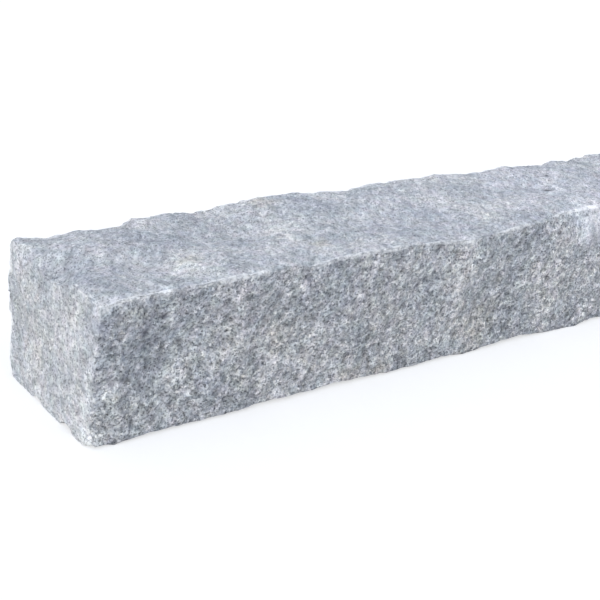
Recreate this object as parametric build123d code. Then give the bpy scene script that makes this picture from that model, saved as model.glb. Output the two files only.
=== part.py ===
from build123d import *
import math
import os

# Granite palisade: one bar of grey granite, split to size on all its sides, lying on its bed.
# X runs along the bar from the near end to the far end, -Y is the front and Z = 0 is the bed.
# The split surface is a ruled loft through sections. Each section is a polygon whose corners
# follow the four broken long arrises and whose sides follow the waves of the split faces.

# Overall size, in millimetres
LENGTH = 1000.0
WIDTH = 130.0
HEIGHT = 112.0

# Facets of the split surface
SECTION_PITCH = 20.0  # longest step along the bar from one section to the next
FACET_WIDTH = 18.0  # width of a facet across a face

# Broken edges
ARRIS_BREAK = 1.0  # width of the crumbled strip along each upper arris, on each face
ARRIS_REACH = 30.0  # how far across a face the breaks of its arrises run out
BED_MARGIN = 9.0  # how far the flat bed stops short of the two long sides
END_TOP_BREAK = 2.5  # how far the top rolls over at both ends
END_SIDE_BREAK = 0.8  # how far the sides and the bed roll over at both ends
END_ROLL = 5.0  # length of bar over which the ends roll over
END_SECTIONS = (0.0, 0.3, 1.0)  # where the rolled ends have sections, as shares of END_ROLL

# Corners of the ends that have split off: which end (-1 near, 1 far), which side (-1 front, 1 back)
# and which level (-1 bed, 1 top) the corner is at, and how far from it the break reaches along the
# bar, across it and in height.
CORNER_BREAKS = [
    (-1, -1, 1, 4.5, 150, 88), (-1, -1, -1, 6, 9, 26), (-1, 1, -1, 5, 12, 30),
    (1, 1, 1, 6, 140, 95), (1, -1, -1, 7, 30, 22),
]

# Broken line of each long arris: distance from the near end, how far the stone has broken back
# from the top or the bed there, and how far it has broken back from the side.
TOP_FRONT_ARRIS = [
    (0, 8, 0), (8, 5.5, 0), (16, 2, 0), (22, 1, 0), (80, 1.5, 0), (160, 0, 0), (175, 2.5, 0), (205, 0, 1),
    (260, 0, 0), (295, 2, 0), (330, 5, 0), (380, 4, 0), (405, 0.5, 0), (425, 3, 1), (440, 1, 1),
    (460, 1, 0), (505, 1, 0), (560, 2, 0), (595, 4, 0), (650, 2, 0), (740, 5, 0), (800, 2, 3),
    (880, 3, 0), (950, 1, 2), (1000, 4, 1),
]
# Long chip out of the front's upper arris: distance from the near end, and width of its facet.
FRONT_CHIP = [(423, 0), (440, 4), (460, 9), (505, 12), (560, 11), (595, 5), (650, 0)]
CHIP_SLOPE = 1.7  # height of the chip's facet for each unit of its width

TOP_BACK_ARRIS = [
    (0, 4, 2), (15, 5.5, 0), (30, 8.5, 1), (50, 6.5, 0), (90, 7.5, 0), (100, 3, 0), (140, 2, 0),
    (155, 5, 0), (175, 2, 0), (225, 0, 0), (260, 0, 0), (275, 3, 0), (315, 5, 0), (340, 2, 0),
    (415, 2, 0), (460, 5, 0), (490, 5, 0), (505, 3.5, 0), (560, 6.5, 2), (575, 4, 0), (595, 7, 2),
    (630, 4.5, 0), (720, 2, 3), (800, 6, 0), (880, 2, 1), (950, 5, 0), (1000, 4, 2),
]
BED_FRONT_ARRIS = [
    (0, 2.5, 1), (12, 2, 0), (19, 0, 0), (26, 2, 0), (50, 3, 0), (90, 1.5, 0), (155, 4, 0), (190, 2.5, 0),
    (215, 4, 1), (260, 2, 0), (295, 1.5, 0), (330, 3, 1), (355, 0.5, 0), (380, 3, 0), (425, 3.5, 1),
    (460, 0.5, 0), (490, 0.5, 0), (505, 2, 0), (560, 1, 2), (630, 4, 0), (720, 1, 1), (800, 3, 0),
    (880, 1, 0), (950, 4, 2), (1000, 1, 0),
]
BED_BACK_ARRIS = [
    (0, 4, 4), (30, 2, 3), (90, 3, 1), (155, 1, 0), (225, 4, 2), (315, 1, 0), (405, 3, 1),
    (490, 1, 3), (575, 4, 0), (650, 2, 2), (740, 1, 0), (800, 4, 1), (880, 2, 0), (1000, 3, 2),
]

# Waves of the split faces: depth, pitch along the bar, pitch across the face, and phase.
FRONT_WAVES = [(0.8, 190, 150, 0.6), (0.6, 88, -120, 2.2), (0.6, 61, 95, 4.4)]
BACK_WAVES = [(1.2, 230, -140, 1.7), (0.8, 97, 110, 3.9), (0.6, 66, -80, 0.3)]
TOP_WAVES = [(1.0, 160, 170, 5.1), (0.8, 73, -90, 1.2)]
WAVE_FADE = 0.5  # how sharply the waves fade out at the arrises: the smaller, the sharper

# Hollows of the split faces: distance from the near end, distance from the front for the top or
# from the bed for a side, half length, half width and depth.
TOP_HOLLOWS = [
    (2, 68, 27, 46, 12.5), (150, 88, 80, 48, 9.0), (62, 40, 54, 40, 5.0), (130, 22, 34, 22, 3.0),
    (305, 52, 92, 50, 7.0), (490, 78, 70, 40, 5.0), (610, 50, 75, 42, 5.0), (735, 82, 85, 40, 6.0),
    (850, 45, 75, 38, 5.0), (935, 85, 52, 34, 4.5), (994, 52, 38, 44, 9.0),
]
FRONT_HOLLOWS = [
    (67, 58, 56, 62, 8.0), (155, 55, 48, 60, 5.0), (275, 55, 52, 58, 4.0), (380, 45, 55, 50, 3.5),
    (500, 45, 60, 50, 3.0), (620, 60, 70, 60, 5.0), (740, 50, 60, 55, 4.0), (860, 60, 65, 60, 5.0),
    (950, 50, 40, 50, 3.0),
]
BACK_HOLLOWS = [
    (0, 26, 34, 56, 7.5), (60, 50, 50, 52, 2.5), (150, 62, 64, 58, 4.0), (270, 48, 56, 55, 3.0),
    (390, 60, 68, 60, 4.5), (515, 52, 60, 56, 3.0), (650, 60, 76, 60, 5.0), (790, 50, 62, 55, 3.5),
    (905, 58, 58, 58, 4.0),
]
HOLLOW_LEAN = 0.33  # how far the hollows of the sides lean along the bar for each unit of height


def broken_back(arris, distance):
    """How far an arris has broken back at a distance from the near end: in height, and from the side."""
    if distance <= arris[0][0]:
        return arris[0][1:]
    for here, ahead in zip(arris, arris[1:]):
        if distance <= ahead[0]:
            share = (distance - here[0]) / (ahead[0] - here[0])
            return tuple(a + share * (b - a) for a, b in zip(here[1:], ahead[1:]))
    return arris[-1][1:]


def wave_depth(waves, along, across):
    """How far a split face lies behind its plane: never less than nothing."""
    return sum(
        depth / 2 * (1 + math.sin(2 * math.pi * (along / pitch + across / cross_pitch) + phase))
        for depth, pitch, cross_pitch, phase in waves
    )


def hollow_depth(hollows, along, across, lean=0.0):
    """Depth of a face's hollows: each is a smooth dish with an oval outline that may lean."""
    total = 0.0
    for centre, centre_across, half_length, half_width, depth in hollows:
        from_middle = across - centre_across
        reach = math.hypot((along - centre - lean * from_middle) / half_length, from_middle / half_width)
        if reach < 1:
            total += depth / 2 * (1 + math.cos(math.pi * reach))
    return total


def end_roll(distance, break_depth):
    """How far a face rolls over near either end: a quarter ellipse over END_ROLL."""
    from_end = min(distance, LENGTH - distance)
    if from_end >= END_ROLL:
        return 0.0
    return break_depth * (1 - math.sqrt(1 - (1 - from_end / END_ROLL) ** 2))


def split_face(start, end, face_width, depth_at):
    """Points across a split face, as places across it and depths behind its plane.

    The start and the end are the face's two arrises, each a place and a depth. Their breaks run
    out over ARRIS_REACH, and the waves lie between them.
    """
    count = max(2, round(face_width / FACET_WIDTH))
    points = []
    for index in range(count + 1):
        share = index / count
        place = start[0] + share * (end[0] - start[0])
        start_break = start[1] * max(0.0, 1 - abs(place - start[0]) / ARRIS_REACH)
        end_break = end[1] * max(0.0, 1 - abs(place - end[0]) / ARRIS_REACH)
        waves = math.sin(math.pi * share) ** WAVE_FADE * depth_at(place) if 0 < index < count else 0.0
        points.append((place, start_break + end_break + waves))
    return points


def section(distance):
    """Closed outline of the bar at a distance from the near end, as points in Y and Z."""
    side_roll = end_roll(distance, END_SIDE_BREAK)
    top = HEIGHT - end_roll(distance, END_TOP_BREAK)
    front = -WIDTH / 2 + side_roll
    back = WIDTH / 2 - side_roll

    (chip,) = broken_back(FRONT_CHIP, distance)
    front_head, front_head_back = broken_back(TOP_FRONT_ARRIS, distance)
    back_head, back_head_back = broken_back(TOP_BACK_ARRIS, distance)
    front_foot, front_foot_back = broken_back(BED_FRONT_ARRIS, distance)
    back_foot, back_foot_back = broken_back(BED_BACK_ARRIS, distance)

    def top_depth(y):
        across = y + WIDTH / 2
        return wave_depth(TOP_WAVES, distance, across) + hollow_depth(TOP_HOLLOWS, distance, across)

    def front_depth(z):
        hollows = hollow_depth(FRONT_HOLLOWS, distance, z, HOLLOW_LEAN)
        return wave_depth(FRONT_WAVES, distance, z) + hollows

    def back_depth(z):
        hollows = hollow_depth(BACK_HOLLOWS, distance, z, HOLLOW_LEAN)
        return wave_depth(BACK_WAVES, distance, z) + hollows

    front_face = split_face(
        (front_foot + side_roll, front_foot_back),
        (top - front_head - ARRIS_BREAK - CHIP_SLOPE * chip, front_head_back),
        HEIGHT,
        front_depth,
    )
    top_face = split_face(
        (front + front_head_back + ARRIS_BREAK + chip, front_head),
        (back - back_head_back - ARRIS_BREAK, back_head),
        WIDTH,
        top_depth,
    )
    back_face = split_face(
        (top - back_head - ARRIS_BREAK, back_head_back),
        (back_foot + side_roll, back_foot_back),
        HEIGHT,
        back_depth,
    )
    return [
        (back - back_foot_back - BED_MARGIN, 0.0),
        (front + front_foot_back + BED_MARGIN, 0.0),
        *[(front + depth, z) for z, depth in front_face],
        *[(y, top - depth) for y, depth in top_face],
        *[(back - depth, z) for z, depth in back_face],
    ]


def stations():
    """Distances of the sections: both rolled ends, each turn of an arris, and none too far apart."""
    near = [share * END_ROLL for share in END_SECTIONS]
    far = [LENGTH - distance for distance in near]
    arrises = (TOP_FRONT_ARRIS, TOP_BACK_ARRIS, BED_FRONT_ARRIS, BED_BACK_ARRIS)
    turns = {point[0] for arris in arrises for point in arris}
    placed = sorted(near + far + [turn for turn in turns if END_ROLL < turn < LENGTH - END_ROLL])
    filled = placed[:1]
    for start, end in zip(placed, placed[1:]):
        steps = math.ceil((end - start) / SECTION_PITCH)
        filled += [start + (end - start) * step / steps for step in range(1, steps + 1)]
    return filled


def split_off(stone, corner_break):
    """The stone without the corner that a break takes off: the break is a plane."""
    end, side, level, along, across, height = corner_break
    outward = Vector(end / along, side / across, level / height)
    on_arris = (end * (LENGTH / 2 - along), side * WIDTH / 2, HEIGHT if level > 0 else 0.0)
    return split(stone, bisect_by=Plane(origin=on_arris, z_dir=outward), keep=Keep.BOTTOM)


def palisade():
    """The whole bar as one solid."""
    outlines = []
    for distance in stations():
        x = distance - LENGTH / 2
        outlines.append(Wire.make_polygon([(x, y, z) for y, z in section(distance)], close=True))
    stone = Solid.make_loft(outlines, ruled=True).clean()
    for corner_break in CORNER_BREAKS:
        stone = split_off(stone, corner_break)
    return stone.solid()


os.makedirs("parts", exist_ok=True)
stone = palisade()
stone.label = "palisade"
export_step(stone, "parts/palisade.step")
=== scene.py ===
"""Granite palisade: the looks of one split granite bar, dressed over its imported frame.

Everything is in metres, in the frame of the solid: X runs along the bar from the near end to the
far end, -Y is the front and Z = 0 is the bed.
"""

from __future__ import annotations

import logging
import math
from dataclasses import dataclass, field
from enum import Enum
from typing import Any

import bmesh
import bpy
from mathutils import Matrix, Vector, geometry, noise
from mathutils.kdtree import KDTree

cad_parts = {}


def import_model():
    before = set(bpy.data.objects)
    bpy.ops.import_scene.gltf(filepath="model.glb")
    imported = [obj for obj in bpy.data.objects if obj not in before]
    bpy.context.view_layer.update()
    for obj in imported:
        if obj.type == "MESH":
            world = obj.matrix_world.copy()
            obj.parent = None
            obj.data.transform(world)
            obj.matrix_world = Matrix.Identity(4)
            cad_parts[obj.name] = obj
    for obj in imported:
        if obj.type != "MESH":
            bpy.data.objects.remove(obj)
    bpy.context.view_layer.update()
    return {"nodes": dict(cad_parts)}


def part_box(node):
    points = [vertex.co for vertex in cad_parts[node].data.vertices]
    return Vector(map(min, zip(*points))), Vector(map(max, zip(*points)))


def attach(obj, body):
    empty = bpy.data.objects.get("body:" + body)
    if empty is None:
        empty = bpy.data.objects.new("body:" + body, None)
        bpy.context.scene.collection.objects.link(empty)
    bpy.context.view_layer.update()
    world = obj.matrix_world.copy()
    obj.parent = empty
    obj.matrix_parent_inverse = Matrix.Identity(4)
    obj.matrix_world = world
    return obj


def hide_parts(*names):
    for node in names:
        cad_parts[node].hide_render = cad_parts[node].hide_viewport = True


LOG = logging.getLogger("palisade")
MM = 0.001
RIGHT_ANGLE = 90.0

# Each finer layer of noise is this many times finer than the one before, and weaker by this power of it
LAYER_FINENESS = 2.0
LAYER_FADE = 1.0

# Middle of a random colour or vector whose parts run from 0 to 1
MIDDLE = (0.5, 0.5, 0.5)
WHITE = (1.0, 1.0, 1.0)

Colour = tuple[float, float, float]
Place = tuple[float, float, float]
Socket = bpy.types.NodeSocket


@dataclass(frozen=True)
class Span:
    """A smooth change of one value with another.

    Attributes:
        start: value at which the change starts.
        end: value at which it is complete.
        before: result at the start and short of it.
        after: result at the end and beyond it.
    """

    start: float
    end: float
    before: float = 0.0
    after: float = 1.0

    def at(self, value: float) -> float:
        """Gives the result for a value.

        Args:
            value: value to place on the span.

        Returns:
            A number from before to after.
        """
        share = min(1.0, max(0.0, (value - self.start) / (self.end - self.start)))
        return self.before + (self.after - self.before) * share * share * (3.0 - 2.0 * share)


@dataclass(frozen=True)
class Cloud:
    """A cloudy pattern of a material.

    Attributes:
        size: size of its clouds, in metres.
        detail: how many finer layers it has.
    """

    size: float
    detail: float


def layered_noise(place: Vector, pitch: float, layers: int) -> float:
    """Gives smooth noise in layers, each finer and weaker than the one before.

    Args:
        place: point on the stone.
        pitch: size of the coarsest layer's lumps, in metres.
        layers: how many layers there are.

    Returns:
        A number about 0.
    """
    return noise.fractal(place / pitch, LAYER_FADE, LAYER_FINENESS, layers)


@dataclass(frozen=True)
class Bar:
    """The bar's box, for placing things on its faces by distances in millimetres.

    Attributes:
        low: lowest corner of the box, in metres.
        high: highest corner of the box, in metres.
    """

    low: Vector
    high: Vector

    def on_top(self, along: float, across: float, depth: float = 5.0) -> Place:
        """Place on the top, from the near end and from the front, at a depth under the box."""
        return (self.low.x + along * MM, self.low.y + across * MM, self.high.z - depth * MM)

    def on_front(self, along: float, height: float, depth: float = 3.0) -> Place:
        """Place on the front, from the near end and from the bed, at a depth behind the box."""
        return (self.low.x + along * MM, self.low.y + depth * MM, self.low.z + height * MM)

    def on_near_end(self, across: float, height: float, depth: float = 1.0) -> Place:
        """Place on the near end, from the front and from the bed, at a depth behind the box."""
        return (self.low.x + depth * MM, self.low.y + across * MM, self.low.z + height * MM)


class Face(Enum):
    """The bar's six faces, each with its outward direction."""

    FRONT = (0.0, -1.0, 0.0)
    BACK = (0.0, 1.0, 0.0)
    TOP = (0.0, 0.0, 1.0)
    BED = (0.0, 0.0, -1.0)
    NEAR_END = (-1.0, 0.0, 0.0)
    FAR_END = (1.0, 0.0, 0.0)


@dataclass(frozen=True)
class SplitRelief:
    """Relief that splitting leaves on one face of the bar, in metres.

    Attributes:
        swell_depth: depth of the broad swells of the face.
        swell_pitch: distance from one swell to the next.
        facet_depth: depth of the small flat breaks that cover the face.
        facet_pitch: size of those breaks.
        lump_depth: depth of the lumps that the crystals leave.
        lump_pitch: distance from one lump to the next.
        streak: direction in which the breaks are drawn out.
        stretch: how many times longer than wide the breaks are.
        swell_layers: layers of noise in the swells.
        wander: how far the breaks' edges wander, in sizes of a break.
        wander_pitch: length over which they wander, in sizes of a break.
        tilt: how steeply the breaks tilt.
        step: how far one break may stand above the next, as a share of the depth.
        fine_share: size and depth of the finer breaks, as a share of the main ones.
        tilt_draw: scale at which the tilt of each break is drawn.
        step_draw: scale at which the step of each break is drawn.
    """

    swell_depth: float
    swell_pitch: float
    facet_depth: float
    facet_pitch: float
    lump_depth: float
    lump_pitch: float
    streak: tuple[float, float, float]
    stretch: float
    swell_layers: int = 2
    wander: float = 0.45
    wander_pitch: float = 1.6
    tilt: float = 1.6
    step: float = 0.35
    fine_share: float = 0.5
    tilt_draw: float = 7.31
    step_draw: float = 3.17

    def facet(self, place: Vector, pitch: float) -> float:
        """Height of the tilted flat break that a place lies on.

        Args:
            place: point on the face.
            pitch: size of the breaks.

        Returns:
            A height from about -1 to 1.
        """
        along = Vector(self.streak).normalized()
        bent = place + noise.noise_vector(place / (self.wander_pitch * pitch)) * (self.wander * pitch)
        bent -= along * (bent.dot(along) * (1.0 - 1.0 / self.stretch))
        spot = bent / pitch
        centre = noise.voronoi(spot)[1][0]
        slope = noise.cell_vector(centre * self.tilt_draw) - Vector(MIDDLE)
        return self.tilt * (spot - centre).dot(slope) + self.step * noise.cell(centre * self.step_draw)

    def height(self, place: Vector) -> float:
        """Height of the relief at a place.

        Args:
            place: point on the face.

        Returns:
            Height above the face, in metres.
        """
        swell = layered_noise(place, self.swell_pitch, self.swell_layers)
        facet = self.facet(place, self.facet_pitch)
        facet += self.fine_share * self.facet(place, self.fine_share * self.facet_pitch)
        lump = noise.noise(place / self.lump_pitch)
        return self.swell_depth * swell + self.facet_depth * facet + self.lump_depth * lump


SOFT_SPLIT = SplitRelief(
    swell_depth=1.8 * MM,
    swell_pitch=32 * MM,
    facet_depth=0.8 * MM,
    facet_pitch=14 * MM,
    lump_depth=0.3 * MM,
    lump_pitch=6 * MM,
    streak=(0.64, 0.77, 0.0),
    stretch=1.3,
)
ROUGH_SPLIT = SplitRelief(
    swell_depth=1.8 * MM,
    swell_pitch=28 * MM,
    facet_depth=1.6 * MM,
    facet_pitch=10 * MM,
    lump_depth=0.7 * MM,
    lump_pitch=5.5 * MM,
    streak=(0.7, 0.0, 0.7),
    stretch=1.4,
)


class Graph:
    """Adds and links the shader nodes of one material or world."""

    def __init__(self, tree: bpy.types.NodeTree) -> None:
        """Starts with an empty tree.

        Args:
            tree: node tree to fill.
        """
        self.tree = tree
        tree.nodes.clear()

    def add(self, kind: str, inputs: dict[Any, Any] | None = None, **settings: Any) -> bpy.types.Node:
        """Adds one node.

        Args:
            kind: the node's type name.
            inputs: sockets by name or number, each with a value or with a socket to link from.
            settings: the node's own properties.

        Returns:
            The new node.
        """
        node = self.tree.nodes.new(kind)
        for name, value in settings.items():
            setattr(node, name, value)
        for key, value in (inputs or {}).items():
            if isinstance(value, Socket):
                self.tree.links.new(value, node.inputs[key])
            else:
                node.inputs[key].default_value = value
        return node

    def math(self, operation: str, *values: Any) -> Socket:
        """Adds a Math node and gives its result."""
        return self.add("ShaderNodeMath", dict(enumerate(values)), operation=operation).outputs[0]

    def vector(self, operation: str, *values: Any) -> Socket:
        """Adds a Vector Math node and gives its result, a number or a vector."""
        node = self.add("ShaderNodeVectorMath", dict(enumerate(values)), operation=operation)
        return node.outputs["Value" if operation in ("DISTANCE", "DOT_PRODUCT") else "Vector"]

    def attribute(self, name: str) -> Socket:
        """Reads a number that the mesh holds for each of its points."""
        return self.add("ShaderNodeAttribute", attribute_name=name).outputs["Fac"]

    def ramp(self, value: Socket, span: Span) -> Socket:
        """Maps a value smoothly to another.

        Args:
            value: socket to map.
            span: how the result changes with the value.

        Returns:
            The socket with the result.
        """
        sockets = {
            "Value": value,
            "From Min": span.start,
            "From Max": span.end,
            "To Min": span.before,
            "To Max": span.after,
        }
        node = self.add("ShaderNodeMapRange", sockets, interpolation_type="SMOOTHSTEP", clamp=True)
        return node.outputs["Result"]

    def mix(
        self, factor: Socket | float, first: Socket | Colour, second: Socket | Colour, blend: str = "MIX"
    ) -> Socket:
        """Mixes two colours.

        Args:
            factor: share of the second colour.
            first: colour, or socket with one.
            second: colour, or socket with one.
            blend: how the second is laid over the first.

        Returns:
            The socket with the mixed colour.
        """
        node = self.add("ShaderNodeMix", data_type="RGBA", blend_type=blend, clamp_factor=True)
        for name, value in (("Factor_Float", factor), ("A_Color", first), ("B_Color", second)):
            socket = next(item for item in node.inputs if item.identifier == name)
            if isinstance(value, Socket):
                self.tree.links.new(value, socket)
            else:
                socket.default_value = (*value, 1.0) if isinstance(value, tuple) else value
        return next(item for item in node.outputs if item.identifier == "Result_Color")

    def tinted(self, colour: Socket, tint: Socket | Colour) -> Socket:
        """Multiplies a colour by another."""
        return self.mix(1.0, colour, tint, "MULTIPLY")

    def toned(self, colour: Socket, tone: Socket) -> Socket:
        """Multiplies a colour by a number."""
        grey = self.add("ShaderNodeCombineColor", {0: tone, 1: tone, 2: tone})
        return self.tinted(colour, grey.outputs[0])

    def cells(self, place: Socket, size: float) -> bpy.types.Node:
        """Adds a pattern of cells of a size in metres."""
        return self.add("ShaderNodeTexVoronoi", {"Vector": place, "Scale": 1.0 / size})

    def chance(self, cells: bpy.types.Node, part: str) -> Socket:
        """Gives one of the three random numbers that each cell has: Red, Green or Blue."""
        return self.add("ShaderNodeSeparateColor", {0: cells.outputs["Color"]}).outputs[part]

    def tilted_cells(self, place: Socket, size: float) -> Socket:
        """Heights of small flat breaks, each tilted its own way, in metres.

        Args:
            place: coordinates.
            size: size of the breaks, in metres.

        Returns:
            The socket with the height.
        """
        cells = self.cells(place, size)
        tilt = self.vector("SUBTRACT", cells.outputs["Color"], MIDDLE)
        from_centre = self.vector("SUBTRACT", place, cells.outputs["Position"])
        return self.vector("DOT_PRODUCT", from_centre, tilt)

    def cloud(self, place: Socket, pattern: Cloud, output: str = "Fac") -> Socket:
        """Adds a cloudy pattern and gives its heights, or its colours."""
        sockets = {"Vector": place, "Scale": 1.0 / pattern.size, "Detail": pattern.detail}
        return self.add("ShaderNodeTexNoise", sockets).outputs[output]


class Tone(Enum):
    """Tones that patches of the stone have, each as what it multiplies the stone's colour by: rust and
    crushed stone, and painted light or shade where the relief catches or loses the light.
    """

    # A fresh break, paler, with painted light where the chip's facet faces the lamp.
    FRESH = (1.32, 1.275, 1.235)
    BRUISED = (1.28, 1.28, 1.27)
    # Paler stone, and painted light on slopes of the top that face the lamp.
    PALE = (1.145, 1.13, 1.105)
    # Painted light on parts of the front and the near end that face the lamp.
    LIGHT = (1.095, 1.085, 1.065)
    # Painted bluish skylight on the top.
    BLUISH = (1.06, 1.055, 1.09)
    # Painted shade that dims parts of the front and the near end.
    DULL = (0.958, 0.953, 0.942)
    SHADY = (0.945, 0.95, 0.962)
    # Painted bluish shade on the top, on slopes turned away from the lamp.
    SLATY = (0.93, 0.935, 0.97)
    # Painted shade, where the relief is turned away from the light.
    DARK = (0.86, 0.87, 0.89)
    # Deep painted shade on the top and the front next to the near end.
    DEEP = (0.79, 0.80, 0.84)
    # Painted shade in small pits.
    GRIMY = (0.36, 0.37, 0.40)
    # Painted shadow inside the pit in the top.
    PITTED = (0.13, 0.13, 0.14)
    RUSTY = (1.03, 0.99, 0.93)
    RUSTED = (1.03, 0.97, 0.87)


@dataclass(frozen=True)
class Patch:
    """A patch of the stone with a tone of its own, or with painted light or shade.

    Attributes:
        centre: middle of the patch, in metres.
        reach: how far it spreads, in metres.
        tone: its tone.
    """

    centre: Place
    reach: float
    tone: Tone


def toned_lit_and_shaded_patches(bar: Bar) -> tuple[Patch, ...]:
    """Lists the stone's patches by tone, each with its place and its reach in millimetres: rust, crushed
    stone, and painted light or shade.

    Args:
        bar: the bar's box.

    Returns:
        The patches.
    """
    top, front, end = bar.on_top, bar.on_front, bar.on_near_end
    spots = {
        Tone.FRESH: ((front(504, 101, 8), 27),),
        Tone.BRUISED: (
            (top(3, 7, 5), 8), (top(14, 5, 2), 10), (top(30, 4, 2), 8), (top(53, 3, 2), 10),
            # The bruise on the front at 480 mm is painted light on the chip's lit facet; the others are
            # crushed stone.
            (top(505, 37), 9), (top(517, 30), 9), (front(12, 42), 11), (front(480, 102, 6), 26),
            (end(10, 9), 13), (end(4, 31), 10), (end(4, 46), 9), (end(3, 62), 9), (end(1, 77), 7),
            (end(30, 66), 10), (end(111, 102), 10),
        ),
        Tone.PALE: (
            (top(199, 70, 2), 34), (top(88, 24), 24), (top(101, 33, 1), 19), (top(132, 108), 22),
            (top(396, 38), 30), (top(485, 47), 12), (top(515, 82), 13),
        ),
        Tone.LIGHT: (
            (front(70, 50), 32), (front(115, 55), 40), (front(165, 55), 45), (front(345, 50), 55),
            (front(460, 50), 70), (end(42, 30), 20), (end(108, 59), 22),
        ),
        Tone.BLUISH: ((top(500, 70), 100),),
        Tone.DULL: (
            (front(255, 50), 52), (end(18, 52), 28), (end(38, 88), 26), (end(65, 60), 45),
            (end(85, 38), 18), (end(105, 70), 45),
        ),
        Tone.SHADY: (
            (top(60, 60), 60), (top(145, 62), 55), (top(147, 46, 2), 22), (end(45, 76), 22),
            (end(48, 70), 14),
        ),
        Tone.SLATY: (
            (top(250, 104), 38), (top(281, 35), 30), (top(325, 65), 70), (top(341, 22), 26),
            (top(415, 14), 24),
        ),
        Tone.DARK: (
            (top(5, 76, 12), 18), (top(20, 66), 16), (top(75, 98), 30), (top(140, 106), 32),
            (top(163, 97, 8), 20), (top(210, 109, 1), 18), (top(232, 44), 24), (front(10, 95, 1), 13),
            (front(12, 66), 12), (front(30, 64), 24), (front(36, 84), 22), (end(12, 100, 2), 14),
        ),
        Tone.DEEP: (
            (top(16, 48), 20), (top(24, 24), 16), (top(42, 48), 16), (top(90, 70, 2), 20),
            (front(6, 91, 1), 10),
        ),
        Tone.GRIMY: (
            (top(525, 91, 2), 4.5), (front(5, 46), 4.5), (front(5, 63), 4.5), (front(23, 50), 4.5),
            (front(38, 83), 5), (front(53, 91), 4.5), (front(81, 49), 4.5), (front(131, 97), 5),
        ),
        Tone.PITTED: ((top(501, 67, 7), 7),),
        Tone.RUSTY: (
            (top(97, 41), 14), (front(29, 98), 14), (front(122, 28), 16), (front(159, 57), 18),
            (front(228, 9), 20), (front(261, 4), 18), (front(368, 25), 34),
        ),
        Tone.RUSTED: ((top(209, 33), 13), (top(214, 118), 18)),
    }
    return tuple(Patch(place, reach * MM, tone) for tone, listed in spots.items() for place, reach in listed)


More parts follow.
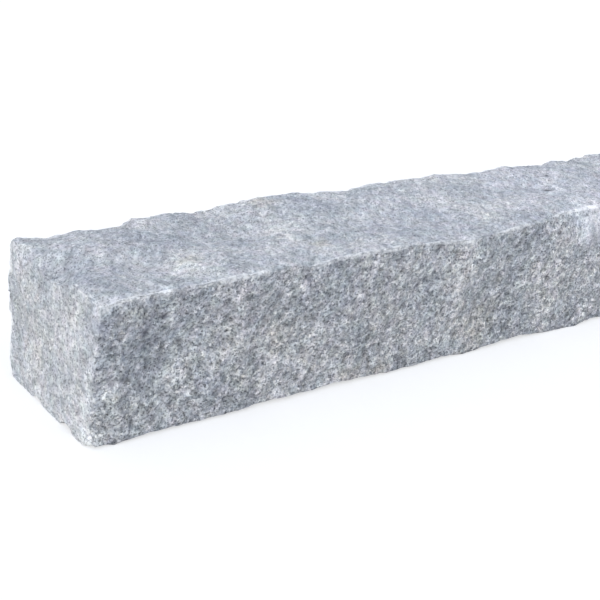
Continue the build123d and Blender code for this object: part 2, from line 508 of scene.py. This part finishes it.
@dataclass(frozen=True)
class GraniteFinish:
    """Split light grey granite: feldspar, quartz and mica grains, with crushed pale arrises.

    The mesh holds three numbers for each point: crushed and painted_shade (shade painted into hollows and
    along the foot), from 0 to 1, and rough, from about 0.5 on a smooth face to 1.4 on a rough one.

    Attributes:
        patches: where the stone has a tone of its own, or painted light or shade.
        feldspar: colour of the palest grains.
        quartz: colour of the grey grains.
        shade: colour of the dark grey grains.
        mica: colour of the dark flecks.
        crushed: colour of stone that is crushed to powder along the arrises.
        cool: tint of the dark clouds.
        warm: tint of the pale clouds.
        gloss: how much the crystals shine.
        grain: size of a grain.
        fleck: spacing of the mica flecks.
        speck: size of the finest specks.
        crystal: size of the crystals' facets.
        crystal_tilt: how steeply those facets tilt.
        crumb_depth: depth of the fine crumbs.
        rift_turn: direction of the rift, from the X axis, in degrees.
        rift_stretch: how many times longer than wide the grains are along the rift.
        upright: how much of its height the mottle sees, which draws it out upwards.
        sway: pattern that bends the grains' edges.
        sway_reach: how far it bends them.
        crumbs: pattern of the fine crumbs.
        clouds: pattern of the broad tone.
        mottle: pattern of the middling tone.
        hues: pattern of the faint hues.
        hue_depth: how far the hues go.
        powder: pattern that breaks up the crushed stone.
        ragged: pattern that frays the patches.
        pale_chance: a grain's chance to its share of feldspar.
        dark_chance: a grain's chance to its share of dark grey.
        grain_fade: roughness to how far the grains fade into the quartz.
        fleck_chance: a fleck's chance to how dark it is.
        fleck_core: distance from a fleck's middle to how dark it is.
        fleck_depth: roughness to how much the flecks show.
        speck_tone: a speck's chance to how much it lightens or darkens the stone.
        speck_depth: roughness to how much the specks show.
        dullness: a grain's chance to the roughness of its shine.
        cloud_tone: broad pattern to its tone.
        cloud_warmth: broad pattern to its share of the warm tint.
        mottle_tone: middling pattern to its tone.
        crumb_shading_tone: height of the crumbs to painted shade in their low places and painted light on
            their tops.
        crumb_shading_depth: roughness to how much that painted shade and light shows.
        crush_share: mark on the mesh to the share of crushed stone.
        powder_share: powder pattern to the share of crushed stone.
        painted_shade_tone: mark on the mesh to how dark the shade painted into a hollow or along the foot is.
        patch_core: where a patch starts to fade, as a share of its reach.
        patch_rim: where a patch has faded, as a share of its reach.
    """

    patches: tuple[Patch, ...]
    feldspar: Colour = (0.73, 0.729, 0.723)
    quartz: Colour = (0.56, 0.567, 0.577)
    shade: Colour = (0.395, 0.407, 0.43)
    mica: Colour = (0.12, 0.125, 0.14)
    crushed: Colour = (0.92, 0.92, 0.91)
    cool: Colour = (0.98, 0.998, 1.017)
    warm: Colour = (1.017, 1.0, 0.982)
    gloss: float = 0.35
    grain: float = 2.0 * MM
    fleck: float = 2.3 * MM
    speck: float = 0.9 * MM
    crystal: float = 2.1 * MM
    crystal_tilt: float = 1.35
    crumb_depth: float = 3.6 * MM
    rift_turn: float = 50.0
    rift_stretch: float = 1.55
    upright: float = 0.5
    sway: Cloud = Cloud(2.5 * MM, 1.0)
    sway_reach: float = 1.2 * MM
    crumbs: Cloud = Cloud(5.0 * MM, 5.0)
    clouds: Cloud = Cloud(36 * MM, 4.0)
    mottle: Cloud = Cloud(7 * MM, 3.0)
    hues: Cloud = Cloud(9 * MM, 4.0)
    hue_depth: float = 0.13
    powder: Cloud = Cloud(3.5 * MM, 3.0)
    ragged: Cloud = Cloud(12 * MM, 3.0)
    pale_chance: Span = Span(0.45, 0.95)
    dark_chance: Span = Span(0.55, 0.95)
    grain_fade: Span = Span(0.5, 1.4, 0.25, 0.0)
    fleck_chance: Span = Span(0.5, 0.95)
    fleck_core: Span = Span(0.2, 0.42, 1.0, 0.0)
    fleck_depth: Span = Span(0.5, 1.4, 0.4, 0.75)
    speck_tone: Span = Span(0.0, 0.3, -0.6, 0.1)
    speck_depth: Span = Span(0.5, 1.4, 0.85, 0.95)
    dullness: Span = Span(0.0, 1.0, 0.62, 0.95)
    cloud_tone: Span = Span(0.3, 0.7, 0.87, 1.11)
    cloud_warmth: Span = Span(0.35, 0.65)
    mottle_tone: Span = Span(0.35, 0.65, 0.88, 1.11)
    crumb_shading_tone: Span = Span(0.30, 0.62, -0.17, 0.23)
    crumb_shading_depth: Span = Span(0.5, 1.4, 0.4, 0.9)
    crush_share: Span = Span(0.3, 0.75)
    powder_share: Span = Span(0.38, 0.6, 0.35, 0.95)
    painted_shade_tone: Span = Span(0.0, 1.0, 1.0, 0.72)
    patch_core: float = 0.5
    patch_rim: float = 1.6

    def material(self) -> bpy.types.Material:
        """Makes the material.

        Returns:
            The granite, on Object coordinates and the stone's own attributes.
        """
        material = bpy.data.materials.new("split_granite")
        material.use_nodes = True
        graph = Graph(material.node_tree)
        place = graph.add("ShaderNodeTexCoord").outputs["Object"]
        rift = self.along_rift(graph, place)
        sway = graph.vector("SUBTRACT", graph.cloud(rift, self.sway, "Color"), MIDDLE)
        bent = graph.vector("ADD", rift, graph.vector("MULTIPLY", sway, (self.sway_reach,) * 3))
        crumbs = graph.cloud(rift, self.crumbs)
        rough = graph.attribute("rough")
        colour = self.grains(graph, place, bent, rough)
        colour = self.mottled(graph, place, rift, crumbs, rough, colour)
        colour = self.worn(graph, place, colour)
        colour = self.patched(graph, place, colour)
        height = self.crystal_heights(graph, bent, crumbs, rough)
        bump = graph.add("ShaderNodeBump", {"Height": height, "Strength": 1.0, "Distance": 1.0})
        shader = graph.add(
            "ShaderNodeBsdfPrincipled",
            {
                "Base Color": colour,
                "Roughness": graph.ramp(graph.cells(bent, self.grain).outputs["Color"], self.dullness),
                "Specular IOR Level": self.gloss,
                "Normal": bump.outputs["Normal"],
            },
        )
        graph.add("ShaderNodeOutputMaterial", {"Surface": shader.outputs["BSDF"]})
        return material

    def along_rift(self, graph: Graph, place: Socket) -> Socket:
        """Draws the coordinates out along the rift, the way in which the granite splits best.

        Args:
            graph: the material's graph.
            place: plain coordinates.

        Returns:
            The socket with the drawn out coordinates.
        """
        sockets = {
            "Vector": place,
            "Rotation": (0.0, 0.0, math.radians(self.rift_turn)),
            "Scale": (self.rift_stretch, 1.0, 1.0),
        }
        return graph.add("ShaderNodeMapping", sockets, vector_type="TEXTURE").outputs["Vector"]

    def grains(self, graph: Graph, place: Socket, bent: Socket, rough: Socket) -> Socket:
        """Colours the grains, the mica flecks and the finest specks.

        Args:
            graph: the material's graph.
            place: plain coordinates.
            bent: coordinates bent so that grains aren't straight-edged.
            rough: socket with the roughness of the face.

        Returns:
            The socket with the colour.
        """
        cells = graph.cells(bent, self.grain)
        pale = graph.ramp(graph.chance(cells, "Red"), self.pale_chance)
        dark = graph.ramp(graph.chance(cells, "Green"), self.dark_chance)
        colour = graph.mix(pale, self.quartz, self.feldspar)
        colour = graph.mix(dark, colour, self.shade)
        colour = graph.mix(graph.ramp(rough, self.grain_fade), colour, self.quartz)

        flecks = graph.cells(bent, self.fleck)
        fleck = graph.ramp(graph.chance(flecks, "Blue"), self.fleck_chance)
        fleck = graph.math("MULTIPLY", fleck, graph.ramp(flecks.outputs["Distance"], self.fleck_core))
        fleck = graph.math("MULTIPLY", fleck, graph.ramp(rough, self.fleck_depth))
        colour = graph.mix(fleck, colour, self.mica)

        speck = graph.ramp(graph.chance(graph.cells(place, self.speck), "Red"), self.speck_tone)
        speck = graph.math("MULTIPLY_ADD", speck, graph.ramp(rough, self.speck_depth), 1.0)
        return graph.toned(colour, speck)

    def mottled(
        self, graph: Graph, place: Socket, rift: Socket, crumbs: Socket, rough: Socket, colour: Socket
    ) -> Socket:
        """Lays the broad and middling tones, the shade and light painted on the crumbs and the faint hues
        over the grains.

        Args:
            graph: the material's graph.
            place: plain coordinates.
            rift: coordinates drawn out along the rift.
            crumbs: socket with the heights of the fine crumbs, from 0 to 1.
            rough: socket with the roughness of the face.
            colour: socket with the colour of the grains.

        Returns:
            The socket with the mottled colour.
        """
        clouds = graph.cloud(place, self.clouds)
        drawn_up = graph.vector("MULTIPLY", rift, (1.0, 1.0, self.upright))
        mottle = graph.ramp(graph.cloud(drawn_up, self.mottle), self.mottle_tone)
        tone = graph.math("MULTIPLY", graph.ramp(clouds, self.cloud_tone), mottle)
        # Painted shade in the crumbs' low places and painted light on their tops, by the crumbs' height.
        crumb_shading_depth = graph.ramp(rough, self.crumb_shading_depth)
        crumb_shading = graph.math("MULTIPLY_ADD", graph.ramp(crumbs, self.crumb_shading_tone), crumb_shading_depth, 1.0)
        colour = graph.toned(colour, graph.math("MULTIPLY", tone, crumb_shading))
        colour = graph.tinted(colour, graph.mix(graph.ramp(clouds, self.cloud_warmth), self.cool, self.warm))
        least_hue = 1.0 - self.hue_depth / 2.0
        hues = graph.cloud(place, self.hues, "Color")
        hues = graph.vector("MULTIPLY_ADD", hues, (self.hue_depth,) * 3, (least_hue,) * 3)
        return graph.tinted(colour, hues)

    def worn(self, graph: Graph, place: Socket, colour: Socket) -> Socket:
        """Lays the crushed arrises over the colour, and paints shade into the hollows and along the foot of
        the sides.

        Args:
            graph: the material's graph.
            place: plain coordinates.
            colour: socket with the colour.

        Returns:
            The socket with the worn colour.
        """
        crushed = graph.ramp(graph.attribute("crushed"), self.crush_share)
        powder = graph.ramp(graph.cloud(place, self.powder), self.powder_share)
        colour = graph.mix(graph.math("MULTIPLY", crushed, powder), colour, self.crushed)
        # Shade painted into the colour where the mesh marks a hollow or the foot of a side.
        return graph.toned(colour, graph.ramp(graph.attribute("painted_shade"), self.painted_shade_tone))

    def patched(self, graph: Graph, place: Socket, colour: Socket) -> Socket:
        """Lays the patches, of rust, crushed stone and painted light or shade, over the colour, with frayed
        edges.

        Args:
            graph: the material's graph.
            place: plain coordinates.
            colour: socket with the colour.

        Returns:
            The socket with the finished colour.
        """
        ragged = graph.cloud(place, self.ragged)
        for patch in self.patches:
            to_centre = graph.vector("DISTANCE", place, patch.centre)
            frayed = graph.math("MULTIPLY_ADD", ragged, patch.reach, to_centre)
            fade = Span(self.patch_core * patch.reach, self.patch_rim * patch.reach, 1.0, 0.0)
            colour = graph.mix(graph.ramp(frayed, fade), colour, graph.tinted(colour, patch.tone.value))
        return colour

    def crystal_heights(self, graph: Graph, bent: Socket, crumbs: Socket, rough: Socket) -> Socket:
        """Heights of the crystals, too small for the mesh, in metres.

        Args:
            graph: the material's graph.
            bent: coordinates bent so that grains aren't straight-edged.
            crumbs: socket with the heights of the fine crumbs, from 0 to 1.
            rough: socket with the roughness of the face.

        Returns:
            The socket with the height.
        """
        crystals = graph.math("MULTIPLY", graph.tilted_cells(bent, self.crystal), self.crystal_tilt)
        height = graph.math("MULTIPLY_ADD", crumbs, self.crumb_depth, crystals)
        return graph.math("MULTIPLY", height, rough)


@dataclass(frozen=True)
class Bite:
    """A small round scoop out of the stone.

    Attributes:
        centre: middle of the round that is taken out, in metres.
        radius: its radius, in metres.
    """

    centre: Place
    radius: float

    def pushed(self, place: Vector) -> Vector:
        """Moves a place out of the scoop.

        Args:
            place: point on the stone.

        Returns:
            The same point, or the nearest one on the scoop's surface.
        """
        away = place - Vector(self.centre)
        if away.length >= self.radius or away.length == 0.0:
            return place
        return Vector(self.centre) + away.normalized() * self.radius


def bitten_places(bar: Bar) -> tuple[Bite, ...]:
    """Lists the scoops out of the stone: two under the near end and a pit in the top.

    Args:
        bar: the bar's box.

    Returns:
        The scoops.
    """
    return (
        Bite(bar.on_near_end(33, -6, -2), 11 * MM),
        Bite(bar.on_near_end(78, -9, -3), 12 * MM),
        Bite(bar.on_top(501, 67, 3), 4.2 * MM),
    )


@dataclass(frozen=True)
class Ridge:
    """A sharp ridge that was left standing between two breaks of a face, or a crack in one.

    Attributes:
        crest: points along its crest, in metres.
        height: how far the crest stands up, in metres, below 0 for a crack.
        reach: how far its flanks spread, in metres.
    """

    crest: tuple[Place, ...]
    height: float
    reach: float

    def lift(self, place: Vector) -> float:
        """How far the ridge lifts a place, on flanks that are parabolas.

        Args:
            place: point on the stone.

        Returns:
            A height in metres, below 0 in a crack and 0 beyond the flanks.
        """
        points = [Vector(point) for point in self.crest]
        nearest = self.reach
        for start, end in zip(points, points[1:]):
            foot, share = geometry.intersect_point_line(place, start, end)
            if not 0.0 <= share <= 1.0:
                foot = start if share < 0.0 else end
            nearest = min(nearest, (place - foot).length)
        return self.height * (1.0 - nearest / self.reach) ** 2


def standing_ridges(bar: Bar) -> tuple[Ridge, ...]:
    """Lists the ridges of the front and the top, the crack in the chip and the one near the pit.

    Args:
        bar: the bar's box.

    Returns:
        The ridges and cracks.
    """
    front, top = bar.on_front, bar.on_top
    return (
        Ridge((front(94, 20), front(101, 39), front(109, 57)), 2.6 * MM, 15 * MM),
        Ridge((front(129, 12), front(122, 52), front(118, 86)), 2.8 * MM, 16 * MM),
        Ridge((front(17, 30), front(21, 55)), 2.4 * MM, 13 * MM),
        Ridge((front(231, 20), front(222, 60), front(213, 92)), 2.2 * MM, 18 * MM),
        Ridge((front(494, 3, 0), front(502, 9, 0), front(516, 18, 1)), 4.5 * MM, 11 * MM),
        Ridge((front(477, 104, 8), front(492, 105, 9), front(507, 105, 11)), -2.2 * MM, 6 * MM),
        Ridge((top(518, 92, 2), top(524, 90, 2), top(531, 91, 2)), -1.2 * MM, 6 * MM),
        Ridge((top(93, 34, 2), top(97, 20, 2)), 2.0 * MM, 14 * MM),
        Ridge((top(234, 111), top(230, 83), top(231, 53)), 2.0 * MM, 22 * MM),
    )


@dataclass(frozen=True)
class Cleavage:
    """A spot where the stone broke clean, smoother than the face round it.

    Attributes:
        centre: middle of the spot, in metres.
        reach: how far it spreads, in metres.
        smoothness: share of the relief that is missing there.
        core: where it starts to fade, as a share of its reach.
    """

    centre: Place
    reach: float
    smoothness: float
    core: float = 0.5

    def relief_left(self, place: Vector) -> float:
        """How much of the relief is left at a place.

        Args:
            place: point on the stone.

        Returns:
            A share from 0 to 1.
        """
        fade = Span(self.core * self.reach, self.reach, 1.0 - self.smoothness, 1.0)
        return fade.at((place - Vector(self.centre)).length)


def clean_breaks(bar: Bar) -> tuple[Cleavage, ...]:
    """Lists the spots where the stone broke clean: the chip in the front's upper arris.

    Args:
        bar: the bar's box.

    Returns:
        The spots.
    """
    return (Cleavage(bar.on_front(497, 99, 6), 32 * MM, 0.6),)


@dataclass
class Palisade:
    """The stone: the solid's own surface, remeshed finely and given its split relief.

    Attributes:
        solid: the CAD node that the stone stands for.
        finish: the granite.
        bites: scoops out of the stone.
        ridges: ridges left standing on its faces, and cracks.
        cleavages: spots where it broke clean.
        seed: number that fixes how the breaks bend, never 0.
        weld: distance within which the solid's loose corners are one point.
        mesh_pitch: size of the mesh's faces.
        mesh_depth: how often the space round the stone is halved to get that size.
        mesh_scale: share of that space that the stone takes up.
        smoothing: share of the way to its neighbours' middle that one pass moves a point.
        soften_passes: how often the flats between the arrises are smoothed.
        arris_margin: how many faces beside an arris aren't smoothed.
        arris_angle: bend, in degrees, from which an edge of the solid is an arris.
        crisp_angle: bend, in degrees, from which an edge of the finished stone is shaded crisply.
        face_power: how sharply one face's relief gives way to the next face's.
        least_share: share under which a face doesn't count at a place.
        chip_depth: how deep the chips along the arrises go.
        chip_pitch: distance from one chip to the next.
        chip_layers: layers of noise in the chips.
        chip_share: that noise to the share of the depth.
        chip_reach: distance from an arris to the share of the depth.
        foot_share: height above the bed to the share of the relief.
        crush_pitch: distance from one crushed stretch of an arris to the next.
        crush_layers: layers of noise in those stretches.
        crush_share: that noise to how far the stone is crushed.
        crush_height: height above the bed to how far the stone is crushed.
        crush_reach: distance from an arris to how far the stone is crushed.
        corner_wear: how soon the edges between the top and the ends are worn, and not crushed.
        painted_shade_passes: how often the copy is smoothed that the depth of the hollows is measured from.
        painted_shade_depth: depth under that copy to how much shade is painted at a place.
        foot_shade: height above the bed to how much shade is painted on the sides.
        reliefs: the relief of each face.
        roughness: how strongly the crystals stand out on each face, about 1.
    """

    solid: bpy.types.Object
    finish: GraniteFinish
    bites: tuple[Bite, ...]
    ridges: tuple[Ridge, ...]
    cleavages: tuple[Cleavage, ...]
    seed: int = 3
    weld: float = 0.01 * MM
    mesh_pitch: float = 2.35 * MM
    mesh_depth: int = 9
    mesh_scale: float = 0.82
    smoothing: float = 0.5
    soften_passes: int = 14
    arris_margin: float = 2.0
    arris_angle: float = 40.0
    crisp_angle: float = 28.0
    face_power: int = 4
    least_share: float = 0.01
    chip_depth: float = 1.1 * MM
    chip_pitch: float = 13.0 * MM
    chip_layers: int = 3
    chip_share: Span = Span(0.0, 0.55)
    chip_reach: Span = Span(0.0, 7.0 * MM, 1.0, 0.0)
    foot_share: Span = Span(0.0, 12.0 * MM, 0.4, 1.0)
    crush_pitch: float = 34.0 * MM
    crush_layers: int = 2
    crush_share: Span = Span(-0.5, 0.15)
    crush_height: Span = Span(4.0 * MM, 14.0 * MM)
    crush_reach: Span = Span(1.08 * MM, 3.6 * MM, 1.0, 0.0)
    corner_wear: float = 8.0
    painted_shade_passes: int = 8
    painted_shade_depth: Span = Span(0.1 * MM, 0.9 * MM)
    foot_shade: Span = Span(1.0 * MM, 5.0 * MM, 1.0, 0.0)
    reliefs: dict[Face, SplitRelief] = field(
        default_factory=lambda: {
            Face.FRONT: ROUGH_SPLIT,
            Face.BACK: ROUGH_SPLIT,
            Face.TOP: SOFT_SPLIT,
            Face.BED: SOFT_SPLIT,
            Face.NEAR_END: SOFT_SPLIT,
            Face.FAR_END: SOFT_SPLIT,
        }
    )
    roughness: dict[Face, float] = field(
        default_factory=lambda: {
            Face.FRONT: 1.4,
            Face.BACK: 1.4,
            Face.TOP: 0.5,
            Face.BED: 0.5,
            Face.NEAR_END: 0.65,
            Face.FAR_END: 0.65,
        }
    )

    def build(self) -> bpy.types.Object:
        """Models and dresses the stone.

        Returns:
            The stone's object, at the origin, with its place in its mesh.
        """
        noise.seed_set(self.seed)
        skin = self.merged_solid()
        arrises = self.arris_points(skin)
        stone = self.new_object(skin)
        surface = self.remeshed(stone)
        self.soften(surface, arrises)
        self.roughen(surface, arrises)
        self.mark_painted_shade(surface)
        surface.to_mesh(stone.data)
        surface.free()
        stone.data.shade_smooth()
        stone.data.set_sharp_from_angle(angle=math.radians(self.crisp_angle))
        stone.data.materials.append(self.finish.material())
        return stone

    def merged_solid(self) -> bmesh.types.BMesh:
        """Copies the solid's loose triangles and merges them into one closed skin.

        Returns:
            The skin.
        """
        skin = bmesh.new()
        skin.from_mesh(self.solid.data)
        bmesh.ops.remove_doubles(skin, verts=skin.verts, dist=self.weld)
        skin.normal_update()
        return skin

    def arris_points(self, skin: bmesh.types.BMesh) -> KDTree:
        """Finds the arrises of the solid.

        Args:
            skin: closed skin of the solid.

        Returns:
            A tree of points set closely along every arris.
        """
        points: list[Vector] = []
        sharp = math.radians(self.arris_angle)
        for edge in skin.edges:
            if edge.calc_face_angle(0.0) > sharp:
                start, end = (vert.co for vert in edge.verts)
                steps = max(1, math.ceil(edge.calc_length() / self.mesh_pitch))
                points += [start.lerp(end, step / steps) for step in range(steps + 1)]
        tree = KDTree(len(points))
        for index, point in enumerate(points):
            tree.insert(point, index)
        tree.balance()
        return tree

    def new_object(self, skin: bmesh.types.BMesh) -> bpy.types.Object:
        """Makes the stone's object from the skin, which is used up.

        Args:
            skin: closed skin of the solid.

        Returns:
            The object, linked into the scene.
        """
        mesh = bpy.data.meshes.new("split_stone")
        skin.to_mesh(mesh)
        skin.free()
        stone = bpy.data.objects.new("split_stone", mesh)
        bpy.context.scene.collection.objects.link(stone)
        return stone

    def remeshed(self, stone: bpy.types.Object) -> bmesh.types.BMesh:
        """Covers the stone with even small faces.

        Args:
            stone: the stone's object, left without modifiers.

        Returns:
            The even mesh, to be shaped.
        """
        remesh = stone.modifiers.new("even_faces", "REMESH")
        remesh.mode = "SHARP"
        remesh.octree_depth = self.mesh_depth
        remesh.scale = self.mesh_scale
        remesh.use_remove_disconnected = False
        surface = bmesh.new()
        surface.from_object(stone, bpy.context.evaluated_depsgraph_get())
        stone.modifiers.clear()
        return surface

    def smooth(self, surface: bmesh.types.BMesh, verts: list[bmesh.types.BMVert], passes: int) -> None:
        """Moves points towards the middle of their neighbours.

        Args:
            surface: mesh to smooth.
            verts: those of its points that move.
            passes: how often they move.
        """
        for _ in range(passes):
            bmesh.ops.smooth_vert(
                surface, verts=verts, factor=self.smoothing, use_axis_x=True, use_axis_y=True, use_axis_z=True
            )

    def soften(self, surface: bmesh.types.BMesh, arrises: KDTree) -> None:
        """Smooths the solid's flat facets away, and leaves the arrises as they are.

        Args:
            surface: mesh to smooth.
            arrises: points along the arrises.
        """
        margin = self.arris_margin * self.mesh_pitch
        flats = [vert for vert in surface.verts if arrises.find(vert.co)[2] > margin]
        self.smooth(surface, flats, self.soften_passes)
        surface.normal_update()

    def shares(self, normal: Vector) -> dict[Face, float]:
        """How much of each face a place belongs to.

        Args:
            normal: outward direction at the place.

        Returns:
            A share for each face that counts there, adding up to about 1.
        """
        weights = {face: max(0.0, normal.dot(Vector(face.value))) ** self.face_power for face in Face}
        total = sum(weights.values())
        return {face: weight / total for face, weight in weights.items() if weight > self.least_share * total}

    def roughen(self, surface: bmesh.types.BMesh, arrises: KDTree) -> None:
        """Gives the faces their relief, breaks chips out of the arrises and marks what is rough or crushed.

        Args:
            surface: softened mesh.
            arrises: points along the arrises.
        """
        rough = surface.verts.layers.float.new("rough")
        crushed = surface.verts.layers.float.new("crushed")
        moved: list[Vector] = []
        for vert in surface.verts:
            shares = self.shares(vert.normal)
            to_arris = arrises.find(vert.co)[2]
            relief_left = math.prod(spot.relief_left(vert.co) for spot in self.cleavages)
            vert[rough] = relief_left * sum(share * self.roughness[face] for face, share in shares.items())
            vert[crushed] = self.crush(vert.co, shares, to_arris)
            moved.append(vert.co + vert.normal * self.height(vert.co, shares, relief_left, to_arris))
        for vert, place in zip(surface.verts, moved):
            for bite in self.bites:
                place = bite.pushed(place)
            vert.co = place
            vert.co.z = max(0.0, place.z)
        surface.normal_update()

    def height(self, place: Vector, shares: dict[Face, float], relief_left: float, to_arris: float) -> float:
        """How far the split stone stands above the softened one.

        Args:
            place: point on the softened stone.
            shares: how much of each face it belongs to.
            relief_left: share of the relief that is left there.
            to_arris: its distance from the nearest arris.

        Returns:
            A height in metres, never above 0 on the bed itself.
        """
        height = relief_left * sum(share * self.reliefs[face].height(place) for face, share in shares.items())
        if Face.BED in shares:
            height = min(height, (1.0 - shares[Face.BED]) * abs(height))
        height += sum(ridge.lift(place) for ridge in self.ridges)
        chip = self.chip_share.at(layered_noise(place, self.chip_pitch, self.chip_layers))
        height -= self.chip_depth * chip * self.chip_reach.at(to_arris)
        return height * self.foot_share.at(place.z)

    def crush(self, place: Vector, shares: dict[Face, float], to_arris: float) -> float:
        """How far the stone is crushed to white powder.

        Args:
            place: point on the softened stone.
            shares: how much of each face it belongs to.
            to_arris: its distance from the nearest arris.

        Returns:
            A share from 0 to 1.
        """
        stretch = self.crush_share.at(layered_noise(place, self.crush_pitch, self.crush_layers))
        ends = shares.get(Face.NEAR_END, 0.0) + shares.get(Face.FAR_END, 0.0)
        worn = min(1.0, self.corner_wear * ends * shares.get(Face.TOP, 0.0))
        return stretch * self.crush_height.at(place.z) * self.crush_reach.at(to_arris) * (1.0 - worn)

    def mark_painted_shade(self, surface: bmesh.types.BMesh) -> None:
        """Marks where shade is painted into the colour: in what lies deep, and along the foot of the sides.

        Args:
            surface: finished mesh.
        """
        painted_shade = surface.verts.layers.float.new("painted_shade")
        even = surface.copy()
        self.smooth(even, list(even.verts), self.painted_shade_passes)
        for vert, level in zip(surface.verts, even.verts):
            depth = (level.co - vert.co).dot(vert.normal)
            # Shade painted along the foot of the front and the back, where they meet the floor.
            foot = abs(vert.normal.y) * self.foot_shade.at(vert.co.z)
            vert[painted_shade] = max(foot, self.painted_shade_depth.at(depth))
        even.free()


@dataclass(frozen=True)
class Viewpoint:
    """Where the camera stands and how it looks.

    Attributes:
        place: where it stands, in metres.
        azimuth: how far it looks round from the +Y axis towards -X, in degrees.
        elevation: how far it looks down, in degrees.
        roll: how far it leans, in degrees.
        lens: focal length, in millimetres.
        sensor: width of the sensor, in millimetres.
    """

    place: Place = (-0.8665, -0.7069, 0.4540)
    azimuth: float = -39.82
    elevation: float = 23.90
    roll: float = 7.16
    lens: float = 75.05
    sensor: float = 36.0

    def build(self) -> bpy.types.Object:
        """Makes the camera and gives it to the scene.

        Returns:
            The camera.
        """
        camera = bpy.data.objects.new("camera", bpy.data.cameras.new("camera"))
        camera.data.lens = self.lens
        camera.data.sensor_width = self.sensor
        camera.location = self.place
        turn = Matrix.Rotation(math.radians(self.azimuth), 3, "Z")
        tilt = Matrix.Rotation(math.radians(RIGHT_ANGLE - self.elevation), 3, "X")
        lean = Matrix.Rotation(math.radians(self.roll), 3, "Z")
        camera.rotation_euler = (turn @ tilt @ lean).to_euler()
        bpy.context.scene.collection.objects.link(camera)
        bpy.context.scene.camera = camera
        return camera


@dataclass(frozen=True)
class Studio:
    """A plain pale floor under soft light from the left.

    Attributes:
        floor_size: width of the floor, in metres.
        floor_bounce: how much light the floor throws back.
        floor_shown: colour of the floor as the camera sees it, before the glow.
        floor_glow: how much the floor glows for the camera alone.
        sky: colour of the light from all round.
        sky_strength: strength of that light.
        key_way: direction from the stone to the main lamp.
        key_spread: how wide the main lamp looks from the stone, in degrees.
        key_strength: strength of the main lamp, in watts on a square metre.
        key_colour: colour of the main lamp.
    """

    floor_size: float = 12.0
    floor_bounce: float = 0.65
    floor_shown: float = 0.55
    floor_glow: float = 0.55
    sky: Colour = (0.825, 0.89, 1.015)
    sky_strength: float = 0.94
    key_way: tuple[float, float, float] = (-0.90, -0.355, 0.32)
    key_spread: float = 24.0
    key_strength: float = 1.33
    key_colour: Colour = (1.0, 0.985, 0.94)

    def build(self) -> bpy.types.Object:
        """Makes the floor, the sky and the lamp.

        Returns:
            The floor.
        """
        self.light_sky()
        self.hang_lamp()
        return self.lay_floor()

    def seen(self, graph: Graph) -> Socket:
        """Gives 1 for a ray that shows the background, straight or in a reflection.

        Args:
            graph: graph of the floor or the sky.

        Returns:
            The socket with the 1 or 0.
        """
        path = graph.add("ShaderNodeLightPath")
        mirrored = graph.math("MAXIMUM", path.outputs["Is Glossy Ray"], path.outputs["Is Transmission Ray"])
        return graph.math("MAXIMUM", path.outputs["Is Camera Ray"], mirrored)

    def light_sky(self) -> None:
        """Lights the stone from all round, and shows white behind it."""
        world = bpy.data.worlds.new("pale_room")
        world.use_nodes = True
        graph = Graph(world.node_tree)
        dim = tuple(self.sky_strength * part for part in self.sky)
        colour = graph.mix(self.seen(graph), dim, WHITE)
        background = graph.add("ShaderNodeBackground", {"Color": colour, "Strength": 1.0})
        graph.add("ShaderNodeOutputWorld", {"Surface": background.outputs[0]})
        bpy.context.scene.world = world

    def hang_lamp(self) -> None:
        """Hangs the main lamp, turned to the stone."""
        lamp = bpy.data.lights.new("key_lamp", "SUN")
        lamp.angle = math.radians(self.key_spread)
        lamp.energy = self.key_strength
        lamp.color = self.key_colour
        hung = bpy.data.objects.new("key_lamp", lamp)
        hung.rotation_euler = Vector(self.key_way).to_track_quat("Z", "Y").to_euler()
        bpy.context.scene.collection.objects.link(hung)

    def lay_floor(self) -> bpy.types.Object:
        """Lays the floor under the stone.

        Returns:
            The floor.
        """
        sheet = bmesh.new()
        bmesh.ops.create_grid(sheet, x_segments=1, y_segments=1, size=self.floor_size / 2.0)
        mesh = bpy.data.meshes.new("floor")
        sheet.to_mesh(mesh)
        sheet.free()
        floor = bpy.data.objects.new("floor", mesh)
        bpy.context.scene.collection.objects.link(floor)
        mesh.materials.append(self.floor_material())
        return floor

    def floor_material(self) -> bpy.types.Material:
        """Makes the floor's material, which glows for the camera alone.

        Returns:
            The material.
        """
        material = bpy.data.materials.new("pale_floor")
        material.use_nodes = True
        graph = Graph(material.node_tree)
        seen = self.seen(graph)
        colour = graph.mix(seen, (self.floor_bounce,) * 3, (self.floor_shown,) * 3)
        paint = graph.add("ShaderNodeBsdfDiffuse", {"Color": colour})
        glow = graph.add("ShaderNodeEmission", {"Strength": graph.math("MULTIPLY", seen, self.floor_glow)})
        both = graph.add("ShaderNodeAddShader", {0: paint.outputs[0], 1: glow.outputs[0]})
        graph.add("ShaderNodeOutputMaterial", {"Surface": both.outputs[0]})
        return material


def main() -> None:
    """Loads the frame, builds the stone, its light and the camera."""
    logging.basicConfig(level=logging.INFO, format="%(name)s: %(message)s")
    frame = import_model()
    bpy.context.scene.view_settings.view_transform = "Standard"

    bar = Bar(*(Vector(corner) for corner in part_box("palisade")))
    finish = GraniteFinish(patches=toned_lit_and_shaded_patches(bar))
    stone = Palisade(
        solid=frame["nodes"]["palisade"],
        finish=finish,
        bites=bitten_places(bar),
        ridges=standing_ridges(bar),
        cleavages=clean_breaks(bar),
    ).build()
    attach(stone, "root")
    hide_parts("palisade")
    LOG.info("%s: %d faces", stone.name, len(stone.data.polygons))

    floor = Studio().build()
    LOG.info("%s: stage", floor.name)
    camera = Viewpoint().build()
    LOG.info("%s: lens %.2f mm", camera.name, camera.data.lens)


if __name__ == "__main__":
    main()
